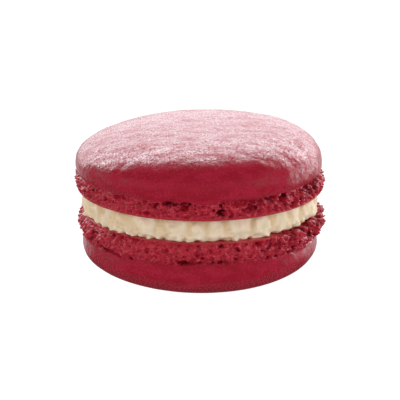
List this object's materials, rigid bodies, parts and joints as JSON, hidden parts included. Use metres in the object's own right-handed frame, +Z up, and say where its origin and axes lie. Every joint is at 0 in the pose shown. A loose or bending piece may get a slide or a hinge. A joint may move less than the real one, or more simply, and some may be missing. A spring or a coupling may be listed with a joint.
{
  "type": "french macaron",
  "caption": "Raspberry-red almond meringue sandwich biscuit: domed smooth shells with ruffled porous feet and a pale cream layer between them.",
  "frame": {"origin": "below the centre of the macaron's box, on the plane it rests on", "axes": "+Z up through both shells, from the lower dome to the upper dome; -Y is the side the picture shows"},
  "size_m": [0.0484, 0.0482, 0.0295],
  "materials": {
    "almond_meringue": "baked meringue skin with an eggshell sheen, porous at the foot",
    "vanilla_cream": "matt pale cream"
  },
  "bodies": {
    "root": {"lower_shell": "almond_meringue", "cream_filling": "vanilla_cream", "upper_shell": "almond_meringue"}
  },
  "joints": []
}
